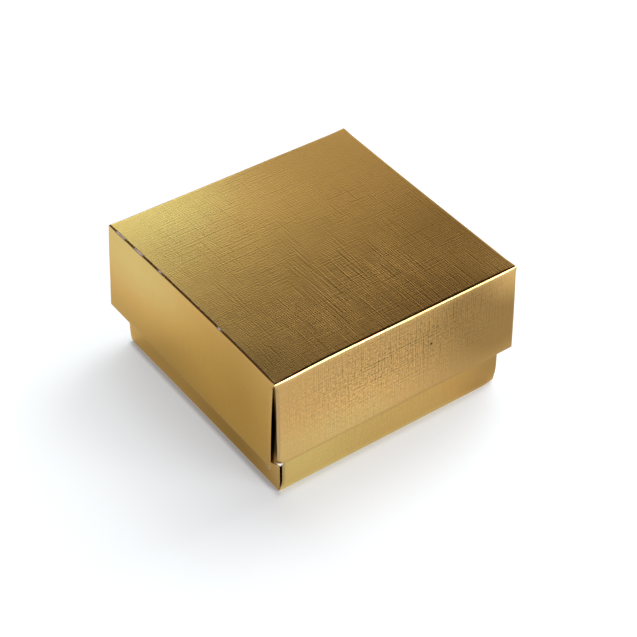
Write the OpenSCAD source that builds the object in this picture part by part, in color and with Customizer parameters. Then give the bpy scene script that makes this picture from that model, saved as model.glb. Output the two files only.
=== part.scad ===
// Favor box of foil-faced card: an open square base and a deep lid that slips down over it.
// Base and lid are each folded up from one blank, and each is built the same way: a flat panel,
// four walls creased up from its edges, a hem rolled inwards along every wall's free edge,
// a liner that runs back down inside the wall, and a folded web in each corner.
// Millimetres, +Z up. The origin is the middle of the base's underside, and the front is -Y.

/* [Base] */
// Width of the base outside, from left to right
base_w = 60; // [40:0.5:120]
// Depth of the base outside, from front to back
base_d = 60; // [40:0.5:120]
// Height of the base from its underside to its rim
base_h = 33.75; // [33:0.25:80]

/* [Lid] */
// Height of the lid from its hem to its top
lid_h = 24.1; // [12:0.1:32]
// Gap on each side between the base's wall and the lid's liner
lid_play = 0.5; // [0.1:0.05:1]
// Gap between the base's rim and the underside of the lid's top
lid_seat = 0.2; // [0.1:0.05:1]
// Distance by which the lid's front hem stands out beyond its crease
flare_front = 0.1; // [0:0.05:2]
// Distance by which the lid's right hem stands out beyond its crease
flare_right = 0.5; // [0:0.05:2]
// Distance by which the lid's back hem stands out beyond its crease
flare_back = 0.85; // [0:0.05:2]
// Distance by which the lid's left hem stands out beyond its crease
flare_left = 1.15; // [0:0.05:2]

/* [Card] */
// Thickness of the card
card_t = 0.35; // [0.2:0.05:0.5]
// Outer radius of the crease between a panel and a wall
crease_r = 0.7; // [0.6:0.05:1.2]
// Slit between the two leaves of a corner web
web_slit = 0.05; // [0.02:0.01:0.2]
// How far a corner web reaches along its wall
web_reach = 18; // [8:0.5:18]
// Gap at the ends of the liners and at the edges of the webs
fold_play = 0.1; // [0.05:0.05:0.5]

/* [Hidden] */
// The space between a wall and its liner holds both leaves of a web
web_t = 2 * card_t + web_slit;
wall_t = 2 * card_t + web_t;
// A hem is half a ring that joins a wall to its liner
hem_r = wall_t / 2;

lid_w = base_w + 2 * (lid_play + wall_t);
lid_d = base_d + 2 * (lid_play + wall_t);
total_h = base_h + lid_seat + card_t;

SIDES = ["front", "right", "back", "left"];
WEB_SIDES = ["left", "right"];
WEB_ENDS = ["front", "back"];
PARTS = ["base", "lid"];

foil_light = [0.84, 0.71, 0.45];
foil_mid = [0.76, 0.61, 0.36];
foil_deep = [0.62, 0.49, 0.28];
foil_shade = [0.45, 0.35, 0.18];

$fn = 96;

// Sizes and angles of one side
function is_across(side) = side == "front" || side == "back";
function side_turn(side) = side == "front" ? 0 : side == "right" ? 90 : side == "back" ? 180 : 270;
function side_length(side, w, d) = is_across(side) ? w : d;
function side_offset(side, w, d) = (is_across(side) ? d : w) / 2;
function lid_flare(side) =
    side == "front" ? flare_front : side == "right" ? flare_right : side == "back" ? flare_back : flare_left;
function lid_lean(side) = atan(lid_flare(side) / (lid_h - crease_r));

// Puts a wall's own frame on one side of a box: X runs along the wall, Y points inwards
// from its outer face, and Z runs away from the panel
module on_side(side, w, d) {
    rotate([0, 0, side_turn(side)])
        translate([-side_length(side, w, d) / 2, -side_offset(side, w, d), 0])
            children();
}

// Turns a box that stands on its panel over, so that the panel becomes the lid's top
module as_lid() {
    translate([0, 0, total_h]) mirror([0, 0, 1]) children();
}

// Extrudes a section drawn in Y and Z along X
module along_wall(length) {
    rotate([90, 0, 90]) linear_extrude(length) children();
}

// Extrudes an outline drawn in X and Z inwards, from the depth y0 to y1
module into_wall(y0, y1) {
    translate([0, y1, 0]) rotate([90, 0, 0]) linear_extrude(y1 - y0) children();
}

// Section of the crease: a ring's sector that turns from the panel into the leaning wall
module crease_section(lean) {
    translate([crease_r, crease_r]) intersection() {
        difference() {
            circle(crease_r);
            circle(crease_r - card_t);
        }
        polygon([
            [0, 0],
            [-2 * crease_r * cos(lean), -2 * crease_r * sin(lean)],
            [-2 * crease_r, -2 * crease_r],
            [0, -2 * crease_r]
        ]);
    }
}

// Section of the hem: half a ring that turns the wall back down towards the inside
module hem_section(h) {
    translate([hem_r, h - hem_r]) intersection() {
        difference() {
            circle(hem_r);
            circle(hem_r - card_t);
        }
        translate([-hem_r, 0]) square([2 * hem_r, hem_r]);
    }
}

// Leans a section out about the middle of the crease
module lean_section(lean) {
    translate([crease_r, crease_r]) rotate(lean) translate([-crease_r, -crease_r]) children();
}

// A wall: crease, upright plate and hem in one strip of card, mitred at both ends
module wall(length, h, lean) {
    mitre = crease_r + wall_t;
    intersection() {
        along_wall(length) union() {
            crease_section(lean);
            lean_section(lean) union() {
                translate([0, crease_r]) square([card_t, h - hem_r - crease_r]);
                hem_section(h);
            }
        }
        linear_extrude(h) polygon([
            [0, -h],
            [0, 0],
            [mitre, mitre],
            [length - mitre, mitre],
            [length, 0],
            [length, -h]
        ]);
    }
}

// A liner: the strip beyond the hem, which hangs inside the wall and stops short of the panel
module liner(length, h, lean) {
    inset = wall_t + fold_play;
    translate([inset, 0, 0]) along_wall(length - 2 * inset)
        lean_section(lean)
            translate([wall_t - card_t, crease_r]) square([card_t, h - hem_r - crease_r]);
}

// Outline of one leaf of a web. Its outer edge leans with the neighbouring wall.
module leaf_outline(h, side_lean) {
    x0 = card_t + fold_play;
    z0 = crease_r;
    z1 = h - hem_r - fold_play;
    reach = min(web_reach, z1 - z0);
    polygon(concat(
        [[x0, z0], [x0 - tan(side_lean) * (z1 - z0), z1], [x0 + reach, z1]],
        reach < z1 - z0 ? [[x0 + reach, z0 + reach]] : []
    ));
}

// Outline of the fold along a web's slanting edge, where its two leaves join
module web_fold_outline(h) {
    x0 = card_t + fold_play;
    z0 = crease_r;
    z1 = h - hem_r - fold_play;
    fold = 2 * card_t;
    reach = min(web_reach, z1 - z0 - fold);
    polygon([[x0, z0], [x0 + reach, z0 + reach], [x0 + reach, z0 + reach + fold], [x0, z0 + fold]]);
}

// A corner web, tucked behind the wall at its X = 0 end: the first leaf comes from this wall
// and the second from its neighbour
module web(h, lean, side_lean) {
    first = card_t;
    second = first + card_t + web_slit;
    translate([0, crease_r, crease_r]) rotate([lean, 0, 0]) translate([0, -crease_r, -crease_r]) union() {
        into_wall(first, first + card_t) leaf_outline(h, 0);
        into_wall(first + card_t, second) web_fold_outline(h);
        into_wall(second, second + card_t) leaf_outline(h, side_lean);
    }
}

// A web at the named end of the left or right wall
module end_web(side, end, w, d, h, lean, side_lean) {
    starts_here = (side == "right") == (end == "front");
    on_side(side, w, d)
        translate([starts_here ? 0 : d, 0, 0]) mirror([starts_here ? 0 : 1, 0, 0])
            web(h, lean, side_lean);
}

// The flat panel between the four creases
module panel(w, d) {
    translate([crease_r - w / 2, crease_r - d / 2, 0])
        cube([w - 2 * crease_r, d - 2 * crease_r, card_t]);
}

module base_bottom() {
    color(foil_shade) panel(base_w, base_d);
}

module base_wall(side) {
    color(is_across(side) ? foil_mid : foil_shade)
        on_side(side, base_w, base_d) wall(side_length(side, base_w, base_d), base_h, 0);
}

module base_liner(side) {
    color(foil_deep)
        on_side(side, base_w, base_d) liner(side_length(side, base_w, base_d), base_h, 0);
}

module base_web(side, end) {
    color(foil_shade) end_web(side, end, base_w, base_d, base_h, 0, 0);
}

module lid_top() {
    color(foil_mid) as_lid() panel(lid_w, lid_d);
}

module lid_wall(side) {
    color(is_across(side) ? foil_mid : foil_light)
        as_lid() on_side(side, lid_w, lid_d)
            wall(side_length(side, lid_w, lid_d), lid_h, lid_lean(side));
}

module lid_liner(side) {
    color(foil_deep)
        as_lid() on_side(side, lid_w, lid_d)
            liner(side_length(side, lid_w, lid_d), lid_h, lid_lean(side));
}

module lid_web(side, end) {
    color(foil_shade)
        as_lid() end_web(side, end, lid_w, lid_d, lid_h, lid_lean(side), lid_lean(end));
}

base_bottom();
lid_top();
for (s = SIDES) {
    base_wall(s);
    base_liner(s);
    lid_wall(s);
    lid_liner(s);
}
for (s = WEB_SIDES, e = WEB_ENDS) {
    base_web(s, e);
    lid_web(s, e);
}
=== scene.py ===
"""Favor box of gold foil card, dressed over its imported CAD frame.

Each panel of the two folded blanks is a skin of card: the outer foil face is laid out as a grid
along the panel's section and then thickened inwards, so that every free edge shows raw card.
Lengths in the mesh code are millimetres.
"""

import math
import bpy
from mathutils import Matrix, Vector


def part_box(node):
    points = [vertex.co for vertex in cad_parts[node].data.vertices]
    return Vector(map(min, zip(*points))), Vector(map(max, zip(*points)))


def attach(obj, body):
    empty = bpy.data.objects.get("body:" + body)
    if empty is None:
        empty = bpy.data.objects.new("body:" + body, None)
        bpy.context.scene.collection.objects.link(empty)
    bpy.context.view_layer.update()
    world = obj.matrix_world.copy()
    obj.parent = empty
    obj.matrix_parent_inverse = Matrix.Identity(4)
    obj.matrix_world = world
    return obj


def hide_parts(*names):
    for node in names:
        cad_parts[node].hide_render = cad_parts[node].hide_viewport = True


bl_info = {
    "name": "Favor box",
    "version": (1, 0, 0),
    "blender": (4, 5, 0),
    "location": "3D View > Sidebar > Favor box",
    "description": "Builds the foil card of a two-piece favor box round its CAD frame",
    "category": "Object",
}

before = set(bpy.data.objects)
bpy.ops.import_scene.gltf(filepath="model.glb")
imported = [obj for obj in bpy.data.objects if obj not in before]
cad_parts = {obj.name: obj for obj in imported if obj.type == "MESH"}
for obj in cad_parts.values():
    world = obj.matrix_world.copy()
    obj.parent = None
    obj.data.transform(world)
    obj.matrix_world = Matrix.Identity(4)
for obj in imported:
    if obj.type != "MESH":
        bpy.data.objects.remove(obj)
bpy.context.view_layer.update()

import bpy
import numpy as np
from bpy.props import FloatProperty, FloatVectorProperty, PointerProperty
from mathutils import Vector

MM = 0.001
PARTS = ("base", "lid")
SIDES = ("front", "right", "back", "left")
WEB_SIDES = ("left", "right")
ENDS = ("front", "back")
# The node of each blank's main panel
PANELS = {"lid": "lid_top", "base": "base_bottom"}

# How far a wall's hem leans out beyond its crease, at the wall's start and at its end, in mm
FLARES = {
    "lid": {"front": (0.30, 0.10), "right": (0.55, 0.55), "back": (0.55, 1.35), "left": (1.05, 1.30)},
    "base": dict.fromkeys(SIDES, (0.0, 0.0)),
}
# Creases that are folded more tightly than the others, with their share of the common radius
TIGHT = {("lid", "left"): 0.78}
# A dark fleck in the foil of the lid's front: its place on the flat blank, in mm
FLECK = (8.7, -42.0, 0.0)
# How far the middle of each wall springs out, in mm
BULGES = {
    "lid": {"front": 0.05, "right": 0.12, "back": 0.14, "left": 0.02},
    "base": dict.fromkeys(SIDES, 0.03),
}
# Where a blank as a whole is pushed out of shape: the place, how far this reaches, and the shift
DENTS = {
    "lid": (
        ((-31.95, 31.95, 34.3), 14.0, (-0.45, 0.25, 0.0)),
        ((31.95, 31.95, 34.3), 12.0, (0.25, -0.27, 0.0)),
        ((-31.95, -31.95, 34.3), 6.0, (-0.15, -0.30, -0.15)),
    ),
    "base": (
        ((-30.0, 30.0, 6.0), 9.0, (-0.15, 0.45, 0.0)),
        ((30.0, -30.0, 0.0), 1.6, (-0.35, 0.35, 0.10)),
        ((-30.0, 30.0, 0.0), 1.0, (0.12, -0.12, 0.05)),
    ),
}
# The upright folds at a wall's start and end: the gap beyond the fold near the panel, half way
# and at the free end, and how far the fold is rounded along the wall near the panel and at the
# free end, in mm
FOLDS = {
    "lid": {
        "front": ((0.20, 0.35, -0.15, 0.75, 0.95), (0.05, -0.45, -0.70, 0.45, 0.60)),
        "right": ((0.40, 0.50, 0.50, 0.50, 0.65), (0.10, 0.10, 0.10, 0.50, 0.65)),
        "back": ((0.10, 0.10, 0.10, 0.45, 0.60), (0.15, 0.15, 0.15, 0.45, 0.60)),
        "left": ((-0.25, -0.95, -1.60, 0.50, 0.65), (1.05, 1.10, 0.70, 0.65, 1.10)),
    },
    "base": {
        "front": ((0.95, 1.15, 1.00, 0.65, 0.65), (-0.30, -0.20, 0.00, 0.50, 0.55)),
        "right": ((0.40, 0.40, 0.40, 0.50, 0.55), (0.20, 0.20, 0.25, 0.50, 0.55)),
        "back": ((0.25, 0.25, 0.30, 0.50, 0.55), (0.25, 0.25, 0.25, 0.50, 0.55)),
        "left": ((-0.35, -0.30, -0.10, 0.40, 0.50), (0.25, 0.25, 0.20, 1.05, 1.05)),
    },
}
# Upright folds that end in a longer tip with raw card along its rim
TIPPED = (("left", 1), ("right", 1))
# Raw card that shows where a front or back wall's hem is cut off at its upright fold: three
# points by their distance along the wall and from the panel, in mm
TIPS = {
    ("front", 0): ((-0.28, 22.30), (1.35, 23.15), (0.60, 23.50)),
    ("back", 0): ((0.08, 22.80), (1.10, 23.35), (0.50, 23.65)),
    ("back", 1): ((0.05, 22.70), (1.25, 23.35), (0.60, 23.70)),
}
# How far this raw card stands off its wall, in mm
TIP_OFF = 0.06
# How far from a corner a crease is pinched, in mm
PINCHED = 4.0
# How far from the crease an upright fold is full, the share that it starts with, and its full reach
# inwards, in mm
FOLD_GROWN, FOLD_FIRST, FOLD_DEEP = 1.6, 0.08, 0.36
# How far a web runs until its first leaf lies against the wall and its second against that
LEAF_RUNS = (3.0, 4.0)
# A liner's play at its ends, and the width and height of the slants cut off near the panel
LINER_PLAY, LINER_CUT, LINER_SLANT = 0.1, 1.2, 2.5


class BoxSizes(bpy.types.PropertyGroup):
    """Sizes of the card and its folds"""

    card: FloatProperty(
        name="Card", description="Thickness of the card", default=0.35 * MM, unit="LENGTH", precision=5)
    crease: FloatProperty(
        name="Crease radius", description="Outer radius of the crease round a panel",
        default=0.7 * MM, unit="LENGTH", precision=5)
    foot: FloatProperty(
        name="Foot radius", description="Outer radius of the crease round the base's bottom",
        default=0.46 * MM, unit="LENGTH", precision=5)
    pinch: FloatProperty(
        name="Pinched radius", description="Outer radius of the crease at a corner",
        default=0.4 * MM, unit="LENGTH", precision=5)
    slit: FloatProperty(
        name="Web slit", description="Slit between the leaves of a corner web",
        default=0.05 * MM, unit="LENGTH", precision=5)
    reach: FloatProperty(
        name="Web reach", description="How far a corner web reaches along its wall",
        default=18 * MM, unit="LENGTH", precision=4)
    rim: FloatProperty(
        name="Panel rim", description="Width of the flat rim that belongs to the walls",
        default=1.4 * MM, unit="LENGTH", precision=4)
    sag: FloatProperty(
        name="Panel sag", description="How far the middle of a panel sinks",
        default=-0.15 * MM, unit="LENGTH", precision=5)
    tip: FloatProperty(
        name="Corner tip", description="How far a fold's tip stands below the hem",
        default=0.6 * MM, unit="LENGTH", precision=5)


class FoilLook(bpy.types.PropertyGroup):
    """Colours and emboss of the card"""

    gold: FloatVectorProperty(
        name="Gold", description="Colour of the foil", subtype="COLOR", size=3,
        default=(0.60, 0.375, 0.14), min=0, max=1)
    # Bronze is the foil's darker tone for painted shade and for its faint random mottle
    bronze: FloatVectorProperty(
        name="Bronze", description="Darker tone of the foil", subtype="COLOR", size=3,
        default=(0.27, 0.158, 0.056), min=0, max=1)
    # Pale gold is painted light and painted reflection on the foil
    painted_light_gold: FloatVectorProperty(
        name="Pale gold", description="Paler tone of the foil", subtype="COLOR", size=3,
        default=(0.76, 0.61, 0.24), min=0, max=1)
    # Amber gold and umber are the foil's tones under a painted warm reflection; umber also gives
    # near-black painted shade and the dark fleck
    deep: FloatVectorProperty(
        name="Amber gold", description="Warmer colour of the foil", subtype="COLOR", size=3,
        default=(0.56, 0.33, 0.08), min=0, max=1)
    umber: FloatVectorProperty(
        name="Umber", description="Darker tone of the warmer foil", subtype="COLOR", size=3,
        default=(0.27, 0.145, 0.03), min=0, max=1)
    # Worn foil is the dull tone where a fold has crazed the foil, and also painted shade on the upright
    # folds of the front and back and on the hems' turns
    worn_and_shaded: FloatVectorProperty(
        name="Worn foil", description="Dull tone of the foil where a fold has crazed it",
        subtype="COLOR", size=3, default=(0.38, 0.26, 0.14), min=0, max=1)
    raw: FloatVectorProperty(
        name="Raw card", description="Colour of the card where the foil has cracked or ends",
        subtype="COLOR", size=3, default=(0.52, 0.42, 0.43), min=0, max=1)
    reverse: FloatVectorProperty(
        name="Reverse", description="Colour of the card's unprinted reverse",
        subtype="COLOR", size=3, default=(0.74, 0.71, 0.66), min=0, max=1)
    pitch: FloatProperty(
        name="Emboss pitch", description="Distance between the lines of the linen emboss",
        default=0.5 * MM, unit="LENGTH", precision=5)
    depth: FloatProperty(
        name="Emboss depth", description="Depth of the linen emboss",
        default=0.012 * MM, unit="LENGTH", precision=6)
    # The emboss's contrast is painted shade in its grooves and painted light on its ridges
    contrast: FloatProperty(
        name="Emboss contrast", default=0.5, min=0, max=3,
        description="How much darker the grooves of the emboss are than its ridges")
    roughness: FloatProperty(
        name="Roughness", description="Roughness of the smooth foil", default=0.21, min=0, max=1,
        subtype="FACTOR")


class StageLook(bpy.types.PropertyGroup):
    """Camera, lamps and floor"""

    azimuth: FloatProperty(
        name="Azimuth", description="Camera's turn round the box", default=math.radians(-35.736),
        subtype="ANGLE")
    elevation: FloatProperty(
        name="Elevation", description="Camera's height over the horizon",
        default=math.radians(41.037), subtype="ANGLE")
    distance: FloatProperty(
        name="Distance", description="Camera's distance", default=0.4198, unit="LENGTH")
    lens: FloatProperty(name="Lens", description="Focal length in millimetres", default=106.19, min=1)
    key: FloatProperty(name="Key lamp", description="Power of the key lamp", default=13.0, unit="POWER")
    rim: FloatProperty(
        name="Rim lamp", description="Power of the lamp behind the box", default=9.0, unit="POWER")
    lamp_size: FloatProperty(
        name="Lamp size", description="Width of both lamps", default=0.95, unit="LENGTH")
    floor: FloatVectorProperty(
        name="Floor", description="Colour of the floor", subtype="COLOR", size=3,
        default=(0.86, 0.93, 0.98), min=0, max=1)


class Value:
    """A socket that gives a number or a vector; sums and products add Math nodes."""

    def __init__(self, tree, socket):
        self.tree, self.socket = tree, socket

    def _math(self, operation, *values):
        node = self.tree.node("ShaderNodeMath", {"operation": operation}, dict(enumerate(values)))
        return Value(self.tree, node.outputs[0])

    def __add__(self, other):
        return self._math("ADD", self, other)

    def __radd__(self, other):
        return self._math("ADD", other, self)

    def __sub__(self, other):
        return self._math("SUBTRACT", self, other)

    def __rsub__(self, other):
        return self._math("SUBTRACT", other, self)

    def __mul__(self, other):
        return self._math("MULTIPLY", self, other)

    def __rmul__(self, other):
        return self._math("MULTIPLY", other, self)

    def __truediv__(self, other):
        return self._math("DIVIDE", self, other)

    def __rtruediv__(self, other):
        return self._math("DIVIDE", other, self)

    def __abs__(self):
        return self._math("ABSOLUTE", self)


class Tree:
    """The nodes of one material or world."""

    def __init__(self, owner):
        owner.use_nodes = True
        self.nodes, self.links = owner.node_tree.nodes, owner.node_tree.links
        self.nodes.clear()

    def node(self, kind, settings=None, inputs=None):
        """Adds a node, sets its settings first and then the values or links of its sockets."""
        node = self.nodes.new(kind)
        for name, value in (settings or {}).items():
            setattr(node, name, value)
        for name, value in (inputs or {}).items():
            if isinstance(value, Value):
                self.links.new(value.socket, node.inputs[name])
            else:
                node.inputs[name].default_value = value
        return node

    def value(self, kind, settings=None, inputs=None, output=0):
        """Adds a node and gives one of its outputs."""
        return Value(self, self.node(kind, settings, inputs).outputs[output])

    def attribute(self, name, output="Fac"):
        return self.value("ShaderNodeAttribute", {"attribute_name": name}, None, output)

    def split(self, vector):
        """The three numbers of a vector."""
        parts = self.node("ShaderNodeSeparateXYZ", None, {0: vector})
        return [Value(self, socket) for socket in parts.outputs]

    def largest(self, a, b):
        return self.value("ShaderNodeMath", {"operation": "MAXIMUM"}, {0: a, 1: b})

    def noise(self, vector, scale, offset=(0, 0, 0), detail=2.0, roughness=0.5):
        """Noise at the vector times the scale plus the offset."""
        place = self.value(
            "ShaderNodeVectorMath", {"operation": "MULTIPLY_ADD"}, {0: vector, 1: scale, 2: offset})
        return self.value(
            "ShaderNodeTexNoise", None,
            {"Vector": place, "Scale": 1.0, "Detail": detail, "Roughness": roughness})

    def smooth(self, value, low, high):
        """0 below low and 1 above high, or the other way round where low is above high."""
        return self.value(
            "ShaderNodeMapRange", {"interpolation_type": "SMOOTHSTEP"},
            {"Value": value, "From Min": low, "From Max": high})

    def scale(self, colour, factor):
        return self.value("ShaderNodeVectorMath", {"operation": "SCALE"}, {0: colour, 3: factor})

    def mix(self, factor, a, b):
        """The colour a where the factor is 0, and b where it is 1."""
        return self.value("ShaderNodeMix", {"data_type": "RGBA"}, {0: factor, 6: a, 7: b}, 2)

    def surface(self, shader, kind="ShaderNodeOutputMaterial"):
        self.node(kind, None, {"Surface": shader})


def rgba(colour, share=1.0):
    """A share of a colour, with full alpha."""
    return tuple(channel * share for channel in colour) + (1.0,)


# What each slot's foil gets: the strength of its emboss, how much darker it is, which for the webs is
# painted shade deep in the corners, and its fleck
FOILS = {
    "lid_foil": (1.0, 0.0, FLECK),
    "base_foil": (0.25, 0.15, None),
    "liner_foil": (0.6, 0.2, None),
    "web_foil": (0.5, 0.3, None),
}
# How strongly the emboss's fine threads and its coarser grooves show, and the deepest of these
THREADS, GROOVES, DEEPEST = 0.6, 0.75, 0.45
# Where the two noises lie, across the lines, whose difference gives the grooves
GROOVE_PLACES = (8.0, 8.45)
# Scales of the two noises whose dashes cross in the pebble, per mm
DASHES = ((3.3, 1.3, 0.0), (1.3, 3.3, 0.0))


def foil_material(name, look, emboss, tone, fleck):
    """Gold foil on card: linen emboss, soft patches of tone, wear and cracks along the folds."""
    material = bpy.data.materials.new(name)
    t = Tree(material)
    sheet = t.attribute("sheet", "Vector")
    bend = t.attribute("bend")
    wear = t.attribute("wear")
    # The tone attribute holds painted light and shade, a painted warm reflection and deeper painted shade
    painted_light_and_mottle, amber, painted_shade = t.split(t.attribute("tone", "Vector"))
    painted_light_and_mottle = painted_light_and_mottle + tone
    press_up, press_level, press_pebble = t.split(t.attribute("press", "Vector"))
    pitch = look.pitch / MM

    def lines(turned):
        """Fine threads and coarser grooves, along the sheet's Y or, turned, along its X."""
        def turn(across, along, z):
            return (along, across, z) if turned else (across, along, z)
        threads = t.value(
            "ShaderNodeTexWave", {"wave_type": "BANDS", "bands_direction": "Y" if turned else "X"},
            {"Vector": sheet, "Scale": math.pi / 10 / pitch})
        patchy = t.noise(sheet, turn(0.7, 0.15, 0.0), (9.0, 2.0, 7.0), 0.0)
        long = turn(1.2 / pitch, 0.06 / pitch, 0.0)
        here, beside = (t.noise(sheet, long, turn(across, 1.0, 4.0), 0.0) for across in GROOVE_PLACES)
        coarse = here - beside
        threads = (threads - 0.5) * t.smooth(patchy, 0.2, 0.6)
        return threads * THREADS + coarse * GROOVES - t.smooth(coarse, -0.14, -0.28) * DEEPEST

    upright, level = lines(False), lines(True)
    one, other = (t.noise(sheet, scale, (2.0, 5.0, 9.0), 1.0) for scale in DASHES)
    pebble = one + other - 1.0
    grain = t.noise(sheet, (6.5, 6.5, 0.0), (1.0, 8.0, 2.0), 2.0, 0.6) - 0.5
    relief = (upright * press_up + level * press_level + pebble * press_pebble) * emboss

    cloud = t.noise(sheet, (0.05, 0.05, 0.0), (3.0, 1.0, 6.0))
    painted_light_and_mottle = painted_light_and_mottle + t.smooth(cloud, 0.35, 0.75) * 0.08
    # Painted shade mixes in bronze and painted light mixes in pale gold, with a faint random mottle;
    # amber is a painted warm reflection
    light = t.mix(amber, rgba(look.gold), rgba(look.deep))
    dark = t.mix(amber, rgba(look.bronze), rgba(look.umber))
    gold = t.mix(0.0 - painted_light_and_mottle, t.mix(painted_light_and_mottle, light, dark), rgba(look.painted_light_gold))
    # The emboss is painted into the colour as well: painted shade in its grooves, painted light on its
    # ridges
    gold = t.scale(gold, 1.0 + relief * look.contrast)
    # Worn foil, partly painted shade, and then painted shade that darkens the foil to near black
    gold = t.mix(painted_shade, t.mix(wear, gold, rgba(look.worn_and_shaded)), rgba(look.umber, 0.05))

    if fleck:
        off = t.value("ShaderNodeVectorMath", {"operation": "DISTANCE"}, {0: sheet, 1: fleck}, "Value")
        gold = t.mix(t.smooth(off + grain, 0.36, 0.26), gold, rgba(look.umber, 0.1))

    streak = t.noise(sheet, (0.55, 0.55, 0.0), (4.0, 4.0, 1.0), 2.0, 0.55)
    crack = t.smooth(streak * t.smooth(bend, 0.05, 0.3) + bend * 0.30, 0.95, 0.99)
    bare = t.largest(crack, t.smooth(wear + grain * 0.3, 1.15, 1.3))
    t.surface(t.value("ShaderNodeBsdfPrincipled", None, {
        "Base Color": t.mix(bare, gold, rgba(look.raw)),
        "Metallic": 1.0 - bare,
        "Specular Tint": (0.96, 0.84, 0.60, 1.0),
        "Roughness": look.roughness + press_up * 0.03 + (cloud - 0.5) * 0.06 + wear * 0.12 + bare * 0.4,
        "Normal": t.value("ShaderNodeBump", None, {
            "Strength": 1.0, "Distance": look.depth, "Height": relief + grain * 0.10}),
    }))
    return material


def card_material(name, colour):
    """Uncoated card: faint fibres and a soft mottle."""
    material = bpy.data.materials.new(name)
    t = Tree(material)
    sheet = t.attribute("sheet", "Vector")
    fibre = t.noise(sheet, (5.0, 1.1, 1.0), (0, 0, 0), 3.0, 0.6)
    mottle = t.noise(sheet, (0.6, 0.6, 0.6), (5.0, 2.0, 1.0))
    tint = t.mix(t.smooth(fibre, 0.35, 0.7) * 0.5, rgba(colour), rgba(colour, 0.88))
    tint = t.mix(t.smooth(mottle, 0.4, 0.8) * 0.35, tint, rgba(colour, 0.93))
    t.surface(t.value("ShaderNodeBsdfPrincipled", None, {
        "Base Color": tint,
        "Roughness": 0.72 + (fibre - 0.5) * 0.2,
        "Normal": t.value("ShaderNodeBump", None, {
            "Strength": 0.6, "Distance": 0.01 * MM, "Height": fibre + mottle}),
    }))
    return material


def ease(x):
    """0 below 0 and 1 above 1, with a soft step between."""
    x = np.clip(x, 0.0, 1.0)
    return x * x * (3 - 2 * x)


def hump(x):
    """0 at 0 and 1 and beyond them, with a round hump of height 1 between."""
    return np.sin(math.pi * np.clip(x, 0.0, 1.0))


class Blank:
    """The sizes and places of one folded blank, base or lid, in millimetres."""

    def __init__(self, part, sizes):
        self.part, self.flip = part, part == "lid"
        self.t = sizes.card / MM
        self.crease = (sizes.crease if self.flip else sizes.foot) / MM
        self.pinch = sizes.pinch / MM
        self.rim, self.sag, self.tip = sizes.rim / MM, sizes.sag / MM, sizes.tip / MM
        self.slit, self.reach = sizes.slit / MM, sizes.reach / MM
        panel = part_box(PANELS[part])
        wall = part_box(part + "_front_wall")
        self.half = (wall[1].x / MM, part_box(part + "_left_wall")[1].y / MM)
        # The lid's walls hang down from its panel, and the base's stand round theirs
        self.panel_z = panel[1].z / MM if self.flip else 0.0
        self.height = (panel[1].z - wall[0].z if self.flip else wall[1].z) / MM
        # The space from a wall's outer face to its liner's inner face, and the hem that joins them
        self.inner = 4 * self.t + self.slit
        self.hem = self.inner / 2

    def length(self, side):
        return 2 * self.half[0 if side in ENDS else 1]

    def start(self, side, end):
        """Where a wall's end 0 or 1 lies along it, and which way the wall runs on from there."""
        return (0.0, 1) if end == 0 else (self.length(side), -1)

    def flat(self, side, w, u):
        """X and Y of what lies w along a wall and u inwards."""
        hx, hy = self.half
        return {
            "front": (w - hx, u - hy), "right": (hx - u, w - hy),
            "back": (hx - w, hy - u), "left": (u - hx, hy - w),
        }[side]

    def place(self, side, w, u, q):
        """Points in the box's frame, w along a wall, u inwards and q away from the panel."""
        z = self.panel_z - q if self.flip else self.panel_z + q
        return np.stack(np.broadcast_arrays(*self.flat(side, w, u), z), -1)

    def on_sheet(self, side, w, v):
        """Where a point of a wall lay on the flat blank; v runs outwards from the crease."""
        return np.stack(np.broadcast_arrays(*self.flat(side, w, -v), 0.0), -1)

    def lean(self, side, w):
        """The angle by which the wall leans out at w."""
        start, end = FLARES[self.part][side]
        flare = start + (end - start) * np.clip(w / self.length(side), 0, 1)
        return np.arctan(flare / (self.height - self.crease))

    def radius(self, side, w):
        """The crease's outer radius at w, pinched towards the corners."""
        near = np.minimum(w, self.length(side) - w)
        crease = self.crease * TIGHT.get((self.part, side), 1.0)
        return self.pinch + (crease - self.pinch) * ease(near / PINCHED)

    def tilt(self, side, w, y, z):
        """Leans the wall's section out about the middle of its crease: (u, q) from (y, z)."""
        r, a = self.radius(side, w), self.lean(side, w)
        y, z = y - r, z - r
        return r + y * np.cos(a) - z * np.sin(a), r + y * np.sin(a) + z * np.cos(a)

    def bulge(self, side, w, z):
        """How far the wall springs out."""
        down = np.sin(math.pi * np.clip(z / self.height, 0, 1) * 0.75)
        return BULGES[self.part][side] * hump(w / self.length(side)) * down

    def fold(self, side, end, z):
        """The gap beyond an upright fold at z, and the fold's reach along the wall and inwards."""
        first, middle, last, near, far = FOLDS[self.part][side][end]
        down = np.clip((z - self.pinch) / (self.height - self.pinch), 0, 1)
        rise = ease(np.clip((z - self.pinch) / FOLD_GROWN, 0, 1) * (1 - FOLD_FIRST) + FOLD_FIRST)
        gap = (first + down * (4 * middle - 3 * first - last)
               + down ** 2 * (2 * first + 2 * last - 4 * middle))
        wide = near + (far - near) * ease(down * 1.3)
        return gap * rise, wide * rise, FOLD_DEEP * rise


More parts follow.
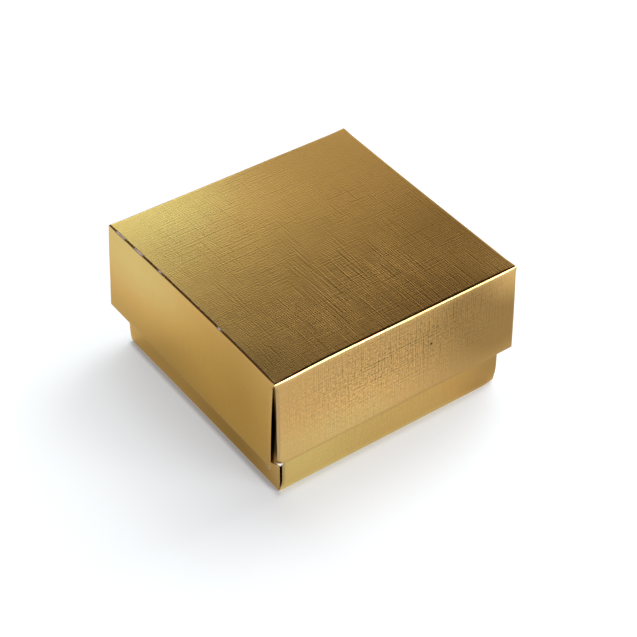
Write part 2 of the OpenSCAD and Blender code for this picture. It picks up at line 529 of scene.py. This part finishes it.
# Soft patches of the emboss on each kind of panel, in shares of it: the middle's place along and
# across, the spread along and across, and the strengths of the lines along the sheet's Y, of the
# lines along its X, and of the pebble between them
PRESSES = {
    "panel": (
        (0.42, 0.16, 0.48, 0.3, 1.3, 0.45, 0.3), (0.55, 0.62, 0.5, 0.35, 0.5, 0.5, 0.2),
        (0.8, 0.1, 0.25, 0.2, 0.3, 0.2, 0.0),
    ),
    "front": ((0.36, 0.4, 0.28, 0.42, 0.55, 0.8, 2.2), (0.7, 0.25, 0.22, 0.45, 0.8, 0.6, 1.2)),
    "left": ((0.6, 0.5, 0.45, 0.5, 0.1, 0.15, 0.0),),
    "right": ((0.5, 0.45, 0.3, 0.5, 0.4, 0.5, 0.6),),
    "back": ((0.45, 0.45, 0.3, 0.5, 0.5, 0.5, 0.8),),
}
# The same for soft patches of painted light below 0 and painted shade above it, of a painted warm
# reflection that makes the foil look amber, and of painted shade that makes it look dull
PAINTED_TONES = {
    "lid_panel": (
        (0.08, 0.88, 0.25, 0.25, -0.38, 0.0, 0.16), (0.75, 0.25, 0.45, 0.45, 0.08, 0.0, 0.0),
        (0.7, 0.0, 0.28, 0.16, 0.45, 0.0, 0.0), (1.0, 0.0, 0.1, 0.1, -0.45, 0.0, 0.0),
        (0.0, 0.0, 0.12, 0.2, -0.2, 0.0, 0.0), (1.0, 0.33, 0.25, 0.22, 0.35, 0.0, 0.0),
        (0.3, 1.0, 0.2, 0.15, -0.3, 0.0, 0.0),
    ),
    "lid_front": (
        (0.92, 0.52, 0.32, 0.58, 1.05, 0.1, 0.0), (0.45, 0.1, 0.4, 0.45, 0.4, 0.0, 0.0),
        (1.0, 0.05, 0.1, 0.3, -0.6, 0.0, 0.0), (0.2, 0.9, 0.4, 0.35, -0.4, 0.0, 0.0),
        (0.76, 0.08, 0.12, 0.3, 0.25, 0.0, 0.0), (0.95, 0.9, 0.2, 0.3, 0.2, 0.0, 0.0),
    ),
    "lid_left": (
        (0.75, 0.6, 0.55, 0.8, 0.38, 1.0, 0.0), (0.1, 1.0, 0.5, 0.35, 0.35, 0.3, 0.0),
        (0.18, 0.15, 0.35, 0.45, -0.75, 0.0, 0.11), (1.0, 0.3, 0.1, 0.8, -0.15, 0.0, 0.0),
        (0.6, 0.6, 0.14, 0.4, -0.2, 0.0, 0.0), (1.0, 0.95, 0.15, 0.3, 0.15, 0.0, 0.0),
    ),
    "base_front": (
        (0.95, 0.25, 0.22, 0.16, 0.5, 0.1, 0.0), (0.05, 0.2, 0.35, 0.6, -0.85, 1.0, 0.0),
        (0.65, 0.1, 0.3, 0.5, -0.4, 0.5, 0.0), (1.0, 0.05, 0.14, 0.2, 0.55, 0.1, 0.0),
    ),
    "base_left": (
        (0.2, 0.3, 0.3, 0.6, 0.05, 0.8, 0.0), (0.72, 0.05, 0.3, 0.25, 0.6, 0.8, 0.0),
        (1.0, 0.3, 0.08, 0.3, -0.4, 0.0, 0.0), (0.0, 0.3, 0.12, 0.12, 0.3, 0.0, 0.0),
    ),
}
# How much painted shade darkens the upper half of each crease
CREASE_PAINTED_SHADE = {"front": 1.0, "right": 0.7, "back": 0.9, "left": 0.15}
# Where the lid's creases have lost their foil: the place along the wall and how far it reaches, in mm
SCUFFS = {"left": ((3.6, 1.0), (5.9, 0.8), (12.0, 2.0), (19.9, 0.9), (43.0, 0.8))}
# How worn a scuff is, and its middle and its width across the crease, in shares of it
SCUFF_WEAR, SCUFF_AT, SCUFF_WIDE = 2.2, 0.4, 0.3
# Cells across a wall's rim, crease, plate, hem and upright folds, along it, across a panel, and
# down and along a liner
RIM, ARC, PLATE, HEM, ROUND, ALONG, PANEL, LINER_CELLS = 4, 12, 30, 12, 16, 48, 40, (19, 30)
# The rows of a wall at which its plate and its hem begin
PLATE_ROW, HEM_ROW = RIM + ARC + 1, RIM + ARC + 1 + PLATE
# Shares of the way down a plate, and round an upright fold or out along a web
DOWN, STEPS = np.linspace(0, 1, PLATE + 1), np.linspace(0, 1, ROUND + 1)
# Points of a skin that lie about this close together, in mm, are made one
WELD = 0.0015
# What each point of a skin carries, and its shape: the place on the flat blank, the strengths of the
# emboss, the painted tones, the bend, the wear and painted shade, and the share of the card's thickness
FIELDS = {"sheet": (3,), "press": (3,), "tone": (3,), "bend": (), "wear": (), "thick": ()}


def patches(table, place, a, b, ground):
    """Sum of a table's soft patches over the ground, at the shares a along and b across."""
    total = np.full(np.shape(a) + (3,), ground)
    for at_a, at_b, wide_a, wide_b, *strength in table.get(place, ()):
        near = np.exp(-(((a - at_a) / wide_a) ** 2 + ((b - at_b) / wide_b) ** 2))
        total = total + near[..., None] * np.array(strength)
    return total


def pressed(place, a, b):
    """How hard the emboss is pressed in at the shares a along and b across a panel."""
    return patches(PRESSES, place, a, b, 0.08)


def painted_tone_at(place, a, b):
    """How much painted shade and painted light, painted warm reflection and deeper painted shade the foil
    gets at the shares a along and b across a panel.
    """
    return patches(PAINTED_TONES, place, a, b, 0.0)


def dented(part, points):
    """The blank's points after it was pushed out of shape."""
    moved = points.copy()
    for place, reach, shift in DENTS[part]:
        near = np.exp(-((points - place) ** 2).sum(-1) / (2 * reach ** 2))
        moved += near[:, None] * np.array(shift)
    return moved


class Skin:
    """Points and faces of a sheet's foil side, gathered from grids and then thickened."""

    def __init__(self, part):
        self.part = part
        self.points, self.faces, self.count = [], [], 0
        self.fields = {key: [] for key in FIELDS}

    def grid(self, points, sheet, bend, press, thick=1.0, *, flip, keep=None, tone=0.0, wear=0.0):
        """Adds a grid of points; keep tells which of its cells have a face."""
        rows, columns = points.shape[:2]
        number = self.count + np.arange(rows * columns).reshape(rows, columns)
        for r in range(rows - 1):
            for c in range(columns - 1):
                if keep is None or keep[r, c]:
                    face = [number[r, c], number[r, c + 1], number[r + 1, c + 1], number[r + 1, c]]
                    self.faces.append(face[::-1] if flip else face)
        given = {"sheet": sheet, "press": press, "tone": tone, "bend": bend, "wear": wear, "thick": thick}
        for key, shape in FIELDS.items():
            values = np.broadcast_to(given[key], (rows, columns) + shape)
            self.fields[key].append(values.reshape((-1,) + shape))
        self.points.append(dented(self.part, points.reshape(-1, 3)))
        self.count += rows * columns

    def weld(self):
        """The points, their fields and the faces, with points that meet made one."""
        points = np.concatenate(self.points)
        keys = np.round(points / WELD).astype(np.int64)
        _, first, number = np.unique(keys, axis=0, return_index=True, return_inverse=True)
        number = number.ravel()
        faces = []
        for face in self.faces:
            ring = [int(number[v]) for v in face]
            ring = [v for k, v in enumerate(ring) if v != ring[k - 1]]
            if len(set(ring)) > 2:
                faces.append(ring)
        used = sorted({v for face in faces for v in face})
        renumber = {v: k for k, v in enumerate(used)}
        faces = [[renumber[v] for v in face] for face in faces]
        kept = first[used]
        fields = {key: np.concatenate(values)[kept] for key, values in self.fields.items()}
        return points[kept], fields, faces

    def finish(self, name, card, materials):
        """Welds the grids, adds the card's reverse and its raw edges, and makes the object."""
        points, fields, faces = self.weld()
        normals = np.zeros_like(points)
        for face in faces:
            ring = points[face]
            normals[face] += sum(
                np.cross(ring[k] - ring[0], ring[k + 1] - ring[0]) for k in range(1, len(face) - 1))
        normals /= np.maximum(np.linalg.norm(normals, axis=1, keepdims=True), 1e-12)
        inner = points - normals * (card * fields.pop("thick"))[:, None]

        count = len(points)
        edges = dict.fromkeys(
            (a, face[(k + 1) % len(face)]) for face in faces for k, a in enumerate(face))
        rim = [[b, a, a + count, b + count] for a, b in edges if (b, a) not in edges]
        whole = faces + [[v + count for v in reversed(face)] for face in faces] + rim
        mesh = bpy.data.meshes.new(name)
        mesh.from_pydata((np.concatenate([points, inner]) * MM).tolist(), [], whole)
        mesh.polygons.foreach_set("material_index", [0] * len(faces) + [1] * len(faces) + [2] * len(rim))
        mesh.polygons.foreach_set("use_smooth", [True] * len(whole))
        for key, values in fields.items():
            # The card's reverse has fibres of its own
            both = np.concatenate([values, values + [0, 0, 3] if key == "sheet" else values])
            kind, store = ("FLOAT_VECTOR", "vector") if FIELDS[key] else ("FLOAT", "value")
            made = mesh.attributes.new(key, kind, "POINT")
            made.data.foreach_set(store, both.astype(np.float32).ravel())
        for material in materials:
            mesh.materials.append(material)
        mesh.validate()
        mesh.update()
        mesh.set_sharp_from_angle(angle=math.radians(50))
        return put(name, mesh, bpy.context.scene)


def put(name, data, scene):
    """Adds a new object to the scene."""
    made = bpy.data.objects.new(name, data)
    scene.collection.objects.link(made)
    return made


def wall_skin(blank, side):
    """Foil side of a wall: rim on the panel, crease, plate, hem, and an upright fold at each end."""
    skin = Skin(blank.part)
    length, h, hem, r_end = blank.length(side), blank.height, blank.hem, blank.pinch
    # The columns lie closer together towards the wall's ends
    share = np.linspace(0, 1, ALONG + 1)
    share = 0.55 * share + 0.45 * (0.5 - 0.5 * np.cos(math.pi * share))
    near = length * share
    r, lean = blank.radius(side, near), blank.lean(side, near)

    def between(first, last):
        """Places along the wall that stop short of its two ends."""
        return first + (length - first - last) * share

    # Each row's places along the wall, inwards, away from the panel and on the sheet, and its bend
    rows = []
    for step in np.arange(RIM) / RIM:
        u = blank.rim + (r - blank.rim) * step
        end = blank.rim + (r_end - blank.rim) * step
        rows.append((between(end, end), u, 0.0, -u, 0.0))
    for step in np.arange(ARC + 1) / ARC:
        a = (math.pi / 2 - lean) * step
        w = between(*(r_end - r_end * np.sin(a[[0, -1]])))
        rows.append((w, r - r * np.sin(a), r - r * np.cos(a), r * a - r, 1.0 - 1.1 * abs(step - 0.5)))
    run = r * (math.pi / 2 - lean - 1)
    for step in DOWN[1:]:
        z = r + (h - hem - r) * step
        z_end = r_end + (h - hem - r_end) * step
        w = between(*(sum(blank.fold(side, end, z_end)[:2]) for end in (0, 1)))
        u, q = blank.tilt(side, near, -blank.bulge(side, w, z), z)
        rows.append((w, u, q, run + z - r, max(0.0, 0.4 - (z_end - r_end) * 1.2)))
    out = blank.bulge(side, w, h - hem)
    for a in math.pi * np.arange(1, HEM + 1) / HEM:
        u, q = blank.tilt(side, near, hem - hem * np.cos(a) - out, h - hem + hem * np.sin(a))
        rows.append((w, u, q, run + h - hem - r + hem * a, 0.35 + 0.65 * np.sin(a)))
    w, u, q, v, bend = (
        np.stack([np.broadcast_to(value, near.shape) for value in column]) for column in zip(*rows))

    points, sheet = blank.place(side, w, u, q), blank.on_sheet(side, w, v)
    along, down = w / length, np.clip(v / h, 0, 1)
    press, tone = pressed(side, along, down), painted_tone_at(f"{blank.part}_{side}", along, down)
    # The rim looks like the panel that it lies beside
    arc = np.clip((np.arange(len(rows)) - RIM) / ARC, 0, 1)[:, None, None]
    a, b = ((sheet[..., k] / blank.half[k] / 2 + 0.5).clip(0, 1) for k in (0, 1))
    press = pressed("panel", a, b) * (1 - arc) + press * arc
    tone = painted_tone_at(blank.part + "_panel", a, b) * (1 - arc) + tone * arc
    #     Painted shade darkens the foil where the crease first bends it, and a painted highlight makes
    #     the front crease pale below that
    arc = arc[:PLATE_ROW, :, 0]
    tone[:PLATE_ROW, :, 0] += CREASE_PAINTED_SHADE[side] * hump(arc / 0.62)
    if side == "front":
        tone[:PLATE_ROW, :, 0] -= hump((arc - 0.45) / 0.6)
    #     The turn of the hem is worn, and painted shade darkens it
    turn = hump(np.arange(1, HEM + 1) / HEM)[:, None]
    tone[HEM_ROW:, :, 2] += 0.5 * turn
    wear = np.zeros_like(bend)
    wear[HEM_ROW:] = 0.5 * turn
    for at, reach in SCUFFS.get(side, ()) if blank.flip else ():
        across = np.exp(-((arc[RIM:] - SCUFF_AT) / SCUFF_WIDE) ** 2)
        wear[RIM:PLATE_ROW] += SCUFF_WEAR * np.exp(-((near - at) / reach) ** 4) * across
    skin.grid(points, sheet, bend, press, flip=blank.flip, tone=tone, wear=wear)
    for end in (0, 1):
        add_upright_fold(skin, blank, side, end, points[PLATE_ROW - 1, -end], run[0])
        if blank.flip and (side, end) in TIPS:
            add_raw_tip(skin, blank, side, end)
    return skin


def add_upright_fold(skin, blank, side, end, corner, run):
    """Rolls one end of a wall's plate round; run is where the crease ends on the sheet."""
    start, sign = blank.start(side, end)
    h, hem, r_end = blank.height, blank.hem, blank.pinch
    step = DOWN[:, None]
    z = r_end + (h - hem - r_end) * step
    gap, wide, deep = blank.fold(side, end, z)
    a = fold_turn(side, z / h) * STEPS
    # The fold ends in a tip that reaches down beside the hem
    tipped = blank.flip and (side, end) in TIPPED
    drop, peak = (blank.tip, 1.6) if tipped else (-0.1, 1.0)
    down = z + ease(step) * step ** 6 * (hem + drop) * np.sin(np.clip(a * peak, 0, math.pi)) ** 0.9
    out = blank.bulge(side, start + sign * (gap + wide), z)
    u, q = blank.tilt(side, start, deep * (1 - np.cos(a)) - out, down)
    points = blank.place(side, start + sign * (gap + wide - wide * np.sin(a)), u, q)
    # The first row closes on the corner
    points[0] = corner
    sheet = blank.on_sheet(side, start + sign * (gap + wide - wide * a * 0.8), run + down - r_end)
    tone = painted_tone_at(f"{blank.part}_{side}", np.full_like(down, end), z / h)
    # Painted shade darkens the inner end of a front or back wall's fold, in the slit
    if side in ENDS:
        tone[..., 2] = ease((STEPS - 0.74) / 0.14) * fold_shade(z / h)
    wear = np.tile(fold_wear_and_shade(side), (PLATE + 1, 1))
    if tipped:
        wear[-1] = np.maximum(wear[-1], 1.4)
    # The card is thin at the corner and in the turn of the fold
    thick = np.minimum(1.0, 0.12 + 0.9 * (z - r_end) / 1.2) * (1 - 0.5 * hump(STEPS))
    skin.grid(points, sheet, 0.25 + 0.3 * np.sin(a), 0.15, thick,
              flip=blank.flip == (end == 1), tone=tone, wear=wear)


def add_raw_tip(skin, blank, side, end):
    """Raw card where a front or back hem is cut off at its upright fold."""
    start, sign = blank.start(side, end)
    left, right, low = np.array(TIPS[side, end])
    top = np.stack([left, (left + right) / 2, right])
    tip = np.stack([top, 0.5 * top + 0.5 * low, np.tile(low, (3, 1))])
    w, down = start + sign * tip[..., 0], tip[..., 1]
    points = blank.place(side, w, *blank.tilt(side, start, -TIP_OFF, down))
    skin.grid(points, blank.on_sheet(side, w, down), 0.0, 0.0, flip=blank.flip == (end == 1), wear=2.0)


def fold_wear_and_shade(side):
    """How crazed the foil is across an upright fold: in two scored lines, or all over the turn, where the
    worn tone is also painted shade.
    """
    if side in WEB_SIDES:
        return sum(most * np.exp(-((STEPS - at) / 0.05) ** 2) for at, most in ((0.03, 0.8), (0.36, 0.5)))
    return 0.55 * ease(STEPS / 0.15) * (1 - ease((STEPS - 0.72) / 0.15))


def fold_turn(side, share):
    """How far an upright fold turns: right back on itself beside a web, and square at the front and
    back, but less towards the hem."""
    if side in WEB_SIDES:
        return math.pi
    return np.radians(90 - 32 * ease((share - 0.55) / 0.4))


def fold_shade(share):
    """How much painted shade darkens the foil in the slit beside an upright fold."""
    return 0.93 * (1 - 0.75 * ease((share - 0.78) / 0.2))


def panel_skin(blank):
    """Foil side of the flat panel between the walls' rims."""
    skin = Skin(blank.part)
    line = np.linspace(-1, 1, PANEL + 1)
    a, b = np.meshgrid(line, line, indexing="ij")
    x, y = (share * (half - blank.rim) for share, half in zip((a, b), blank.half))
    sag = blank.sag * (1 - a ** 2) ** 2 * (1 - b ** 2) ** 2
    z = blank.panel_z - sag if blank.flip else blank.panel_z + sag
    press = pressed("panel", (a + 1) / 2, (b + 1) / 2)
    tone = painted_tone_at(blank.part + "_panel", (a + 1) / 2, (b + 1) / 2)
    points, sheet = (np.stack([x, y, height], -1) for height in (z, 0 * z))
    skin.grid(points, sheet, 0.0, press, flip=blank.flip, tone=tone)
    return skin


def liner_skin(blank, side):
    """Foil side of a liner, which faces the inside of the box."""
    skin = Skin(blank.part)
    length, h = blank.length(side), blank.height
    rows, columns = LINER_CELLS
    share = np.linspace(0, 1, columns + 1)
    z = np.linspace(blank.crease, h - blank.hem, rows + 1)[:, None]
    cut = blank.inner + LINER_PLAY + LINER_CUT * (1 - ease((z - blank.crease) / LINER_SLANT))
    w = cut + (length - 2 * cut) * share
    u, q = blank.tilt(side, length * share, blank.inner - 0.5 * blank.bulge(side, w, z), z)
    skin.grid(blank.place(side, w, u, q), blank.on_sheet(side, w, 2 * h - z), 0.0,
              pressed(side, w / length, 0.4) * 0.6, flip=not blank.flip)
    return skin


def web_skin(blank, side, end):
    """Foil side of a corner web: a leaf from the side wall, its slanting fold, and a leaf from the
    front or back wall."""
    skin = Skin(blank.part)
    # The wall's end where the web starts, and the neighbour's end that meets it
    own = 0 if (side == "right") == (end == "front") else 1
    other = 0 if (side == "left") == (end == "front") else 1
    start, sign = blank.start(side, own)
    h, q0 = blank.height, blank.pinch
    z = q0 + (h - blank.hem - q0) * DOWN[1:, None]
    far = np.minimum(blank.reach, z - q0)
    out = far * STEPS
    gap, wide, deep = blank.fold(side, own, z)

    def leaf(along, depth):
        """Points a distance along the side wall from its upright fold, and a depth inwards."""
        return blank.place(side, start + sign * (gap + wide + along), *blank.tilt(side, start, depth, z))

    depth = 2 * deep + (2 * blank.t - 2 * deep) * ease(out / LEAF_RUNS[0])
    first = leaf(out, depth - blank.bulge(side, start + sign * (gap + wide + out), z))

    # The second leaf starts on the neighbour's fold and comes to lie against the first
    start2, sign2 = blank.start(end, other)
    gap2, wide2, deep2 = blank.fold(end, other, z)
    turn = fold_turn(end, z / h)
    here, there = (
        blank.place(
            end, start2 + sign2 * (gap2 + wide2 - wide2 * np.sin(turn) - ahead * np.cos(turn)),
            *blank.tilt(end, start2, deep2 * (1 - np.cos(turn)) + ahead * np.sin(turn), z))
        for ahead in (0, 1))
    level, meet = 2 * blank.t + blank.slit, np.minimum(LEAF_RUNS[1], far)
    goal, beyond = leaf(meet, level), leaf(meet + 1, level)
    span = np.linalg.norm(goal - here, axis=-1, keepdims=True)
    s = np.clip(out / np.maximum(meet, 1e-6), 0, 1)[..., None]
    curve = ((2 * s ** 3 - 3 * s ** 2 + 1) * here + (s ** 3 - 2 * s ** 2 + s) * (there - here) * span
             + (3 * s ** 2 - 2 * s ** 3) * goal + (s ** 3 - s ** 2) * (beyond - goal) * span)
    second = np.where((out <= meet)[..., None], curve, leaf(out, level))

    points = np.concatenate([first, second[:, ::-1]], 1)
    sheet = np.concatenate([
        blank.on_sheet(side, start - sign * out, z),
        blank.on_sheet(side, start + sign * (out[:, ::-1] - 2 * far), z)], 1)
    # The leaves part where the slanting fold ends
    keep = np.ones((len(points) - 1, points.shape[1] - 1), bool)
    keep[(z - q0 >= blank.reach + 0.3)[1:, 0], ROUND] = False
    # The web deep in the corner gets painted shade and a painted warm reflection
    tone = np.stack(np.broadcast_arrays(0.3, 0.8, fold_shade(z / h)), -1)
    skin.grid(points, sheet, 0.1, 0.15, 0.9, flip=blank.flip == (own == 1), keep=keep, tone=tone)
    return skin


def material_of(name, make, *values):
    """The material of that name, which is made when it is first asked for."""
    return bpy.data.materials.get(name) or make(name, *values)


def add_piece(skin, node, body, slot, context):
    """Makes a skin's object, with foil, reverse and raw edge, in its node's place."""
    sizes, look = context.scene.favor_sizes, context.scene.favor_foil
    piece = skin.finish(node + "_card", sizes.card / MM, [
        material_of("embossed_" + slot, foil_material, look, *FOILS[slot]),
        material_of("card_reverse", card_material, look.reverse),
        material_of("card_raw", card_material, look.raw),
    ])
    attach(piece, body)
    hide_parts(node)


def each_side(context, sides=SIDES):
    """Each part's name, its blank and its sides in turn."""
    for part in PARTS:
        blank = Blank(part, context.scene.favor_sizes)
        for side in sides:
            yield part, blank, side


class PieceOperator:
    """What the operators that build the box share"""

    bl_options = {"REGISTER", "UNDO"}


class FAVOR_OT_panels(PieceOperator, bpy.types.Operator):
    """Make the base's bottom and the lid's top"""

    bl_idname = "favor.panels"
    bl_label = "Panels"

    def execute(self, context):
        for part, node in PANELS.items():
            blank = Blank(part, context.scene.favor_sizes)
            add_piece(panel_skin(blank), node, part, part + "_foil", context)
        return {"FINISHED"}


class FAVOR_OT_walls(PieceOperator, bpy.types.Operator):
    """Make the walls with their creases, hems and upright folds"""

    bl_idname = "favor.walls"
    bl_label = "Walls"

    def execute(self, context):
        for part, blank, side in each_side(context):
            add_piece(wall_skin(blank, side), f"{part}_{side}_wall", part, part + "_foil", context)
        return {"FINISHED"}


class FAVOR_OT_liners(PieceOperator, bpy.types.Operator):
    """Make the liners inside the walls"""

    bl_idname = "favor.liners"
    bl_label = "Liners"

    def execute(self, context):
        for part, blank, side in each_side(context):
            add_piece(liner_skin(blank, side), f"{part}_{side}_liner", part, "liner_foil", context)
        return {"FINISHED"}


class FAVOR_OT_webs(PieceOperator, bpy.types.Operator):
    """Make the webs folded into the corners"""

    bl_idname = "favor.webs"
    bl_label = "Corner webs"

    def execute(self, context):
        for part, blank, side in each_side(context, WEB_SIDES):
            for end in ENDS:
                skin = web_skin(blank, side, end)
                add_piece(skin, f"{part}_{side}_{end}_web", part, "web_foil", context)
        return {"FINISHED"}


def towards(azimuth, elevation):
    """Unit vector to a place in the sky: azimuth from +Y towards +X, both in degrees."""
    a, e = math.radians(azimuth), math.radians(elevation)
    return Vector((math.sin(a) * math.cos(e), math.cos(a) * math.cos(e), math.sin(e)))


# Soft boxes in the sky: the azimuths and elevations between which each stands and how soft its
# edges are, all in degrees, its colour and its strength
SOFT_BOXES = (
    ((0.0, 30.7, 0.6), (25.0, 38.0, 1.0), (0.86, 1.0, 0.88), 3.9),
    ((30.0, 75.0, 2.0), (-10.0, 36.0, 1.6), (1.0, 0.94, 0.72), 1.12),
    ((138.0, 172.0, 4.0), (-10.0, 36.0, 3.0), (1.0, 0.97, 0.95), 8.0),
    ((215.0, 300.0, 10.0), (-10.0, 34.0, 10.0), (1.0, 0.95, 0.9), 0.7),
)
CEILING = (0.076, 0.047, 0.061)
HORIZON = (0.26, 0.22, 0.19)
# Each lamp's name, the property with its power, and the azimuth and elevation that it shines from
LAMPS = (("key_lamp", "key", 77, 39), ("rim_lamp", "rim", 35, 60))
# How far from the middle the lamps stand and the floor reaches, in m
LAMP_DISTANCE, FLOOR_REACH = 1.2, 3.0
# How far from the middle the painted shade under the box begins to fade and ends
SHADE = (30.2 * MM, 31.8 * MM)
# The place that the camera looks at
TARGET = Vector((-1.56, -4.92, 17.16)) * MM


def build_world(scene):
    """A dim sky with the soft boxes that the foil mirrors."""
    scene.world = scene.world or bpy.data.worlds.new("Studio")
    t = Tree(scene.world)
    way = t.value("ShaderNodeTexCoord", None, None, "Generated")

    def along(axis):
        return t.value(
            "ShaderNodeVectorMath", {"operation": "DOT_PRODUCT"}, {0: way, 1: tuple(axis)}, "Value")

    up = along((0, 0, 1))
    level = t.value("ShaderNodeMath", {"operation": "SQRT"}, {0: 1.0001 - up * up})
    colour = t.mix(t.smooth(up, 0.0, 0.7), rgba(HORIZON), rgba(CEILING))
    for (left, right, soft), (low, high, blur), tint, strength in SOFT_BOXES:
        facing = along(towards((left + right) / 2, 0)) / level
        half = (right - left) / 2
        mask = t.smooth(facing, *(math.cos(math.radians(a)) for a in (half + soft, max(half - soft, 0))))
        for ends in ((high + blur, high - blur), (low - blur, low + blur)):
            mask = mask * t.smooth(up, *(math.sin(math.radians(a)) for a in ends))
        colour = t.mix(mask, colour, rgba(tint, strength))
    sky = t.value("ShaderNodeBackground", None, {"Color": colour, "Strength": 1.0})
    t.surface(sky, "ShaderNodeOutputWorld")


def floor_material(look):
    """White that gives way to painted shade where the box stands, though not in what the foil mirrors."""
    material = bpy.data.materials.new("studio_floor")
    t = Tree(material)
    place = t.value("ShaderNodeTexCoord", None, None, "Object")
    haze = t.noise(place, (9.0, 9.0, 0.0))
    camera, glossy, through = (
        t.value("ShaderNodeLightPath", None, None, f"Is {kind} Ray")
        for kind in ("Camera", "Glossy", "Transmission"))
    x, y, _ = t.split(place)
    shade = camera * (1.0 - t.smooth(t.largest(abs(x), abs(y)), *SHADE))
    t.surface(t.value("ShaderNodeMixShader", None, {
        0: (camera + glossy + through) * 0.5 - shade * 0.3,
        1: t.value("ShaderNodeBsdfDiffuse", None, {
            "Color": t.mix(haze, rgba(look.floor), rgba(look.floor, 0.985))}),
        2: t.value("ShaderNodeEmission", None, {"Strength": 1.0}),
    }))
    return material


class FAVOR_OT_stage(PieceOperator, bpy.types.Operator):
    """Make the floor, the lamps, the soft sky and the camera"""

    bl_idname = "favor.stage"
    bl_label = "Stage"

    def execute(self, context):
        scene, look = context.scene, context.scene.favor_stage
        scene.view_settings.view_transform = "Standard"

        mesh = bpy.data.meshes.new("studio_floor")
        corners = [(x * FLOOR_REACH, y * FLOOR_REACH, 0) for x, y in ((-1, -1), (1, -1), (1, 1), (-1, 1))]
        mesh.from_pydata(corners, [], [(0, 1, 2, 3)])
        mesh.materials.append(floor_material(look))
        floor = put("studio_floor", mesh, scene)

        build_world(scene)

        for name, power, azimuth, elevation in LAMPS:
            way = towards(azimuth, elevation)
            lamp = bpy.data.lights.new(name, "AREA")
            lamp.shape, lamp.size, lamp.energy = "DISK", look.lamp_size, getattr(look, power)
            placed = put(name, lamp, scene)
            placed.location = way * LAMP_DISTANCE
            placed.rotation_mode = "QUATERNION"
            placed.rotation_quaternion = way.to_track_quat("Z", "Y")
            placed.visible_glossy = False

        data = bpy.data.cameras.new("camera")
        data.sensor_width, data.lens = 36.0, look.lens
        data.clip_start, data.clip_end = 0.01, 20.0
        camera = put("camera", data, scene)
        a, e = look.azimuth, look.elevation
        back = Vector((math.sin(a) * math.cos(e), -math.cos(a) * math.cos(e), math.sin(e)))
        camera.location = TARGET + back * look.distance
        camera.rotation_mode = "QUATERNION"
        camera.rotation_quaternion = (-back).to_track_quat("-Z", "Y")
        scene.camera = camera
        return {"FINISHED"}


class FAVOR_PT_panel(bpy.types.Panel):
    """Sizes, colours and the steps that build the box"""

    bl_label = "Favor box"
    bl_idname = "FAVOR_PT_panel"
    bl_space_type = "VIEW_3D"
    bl_region_type = "UI"
    bl_category = "Favor box"

    def draw(self, context):
        for group, kind in GROUPS:
            column = self.layout.column(align=True)
            for name in kind.__annotations__:
                column.prop(getattr(context.scene, group), name)
        for step in OPERATORS:
            self.layout.operator(step.bl_idname)


OPERATORS = (FAVOR_OT_panels, FAVOR_OT_walls, FAVOR_OT_liners, FAVOR_OT_webs, FAVOR_OT_stage)
CLASSES = (BoxSizes, FoilLook, StageLook) + OPERATORS + (FAVOR_PT_panel,)
GROUPS = (("favor_sizes", BoxSizes), ("favor_foil", FoilLook), ("favor_stage", StageLook))


def register():
    for cls in CLASSES:
        bpy.utils.register_class(cls)
    for name, group in GROUPS:
        setattr(bpy.types.Scene, name, PointerProperty(type=group))


def unregister():
    for name, group in GROUPS:
        delattr(bpy.types.Scene, name)
    for cls in reversed(CLASSES):
        bpy.utils.unregister_class(cls)


def main():
    register()
    bpy.ops.favor.panels()
    bpy.ops.favor.walls()
    bpy.ops.favor.liners()
    bpy.ops.favor.webs()
    bpy.ops.favor.stage()


if __name__ == "__main__":
    main()
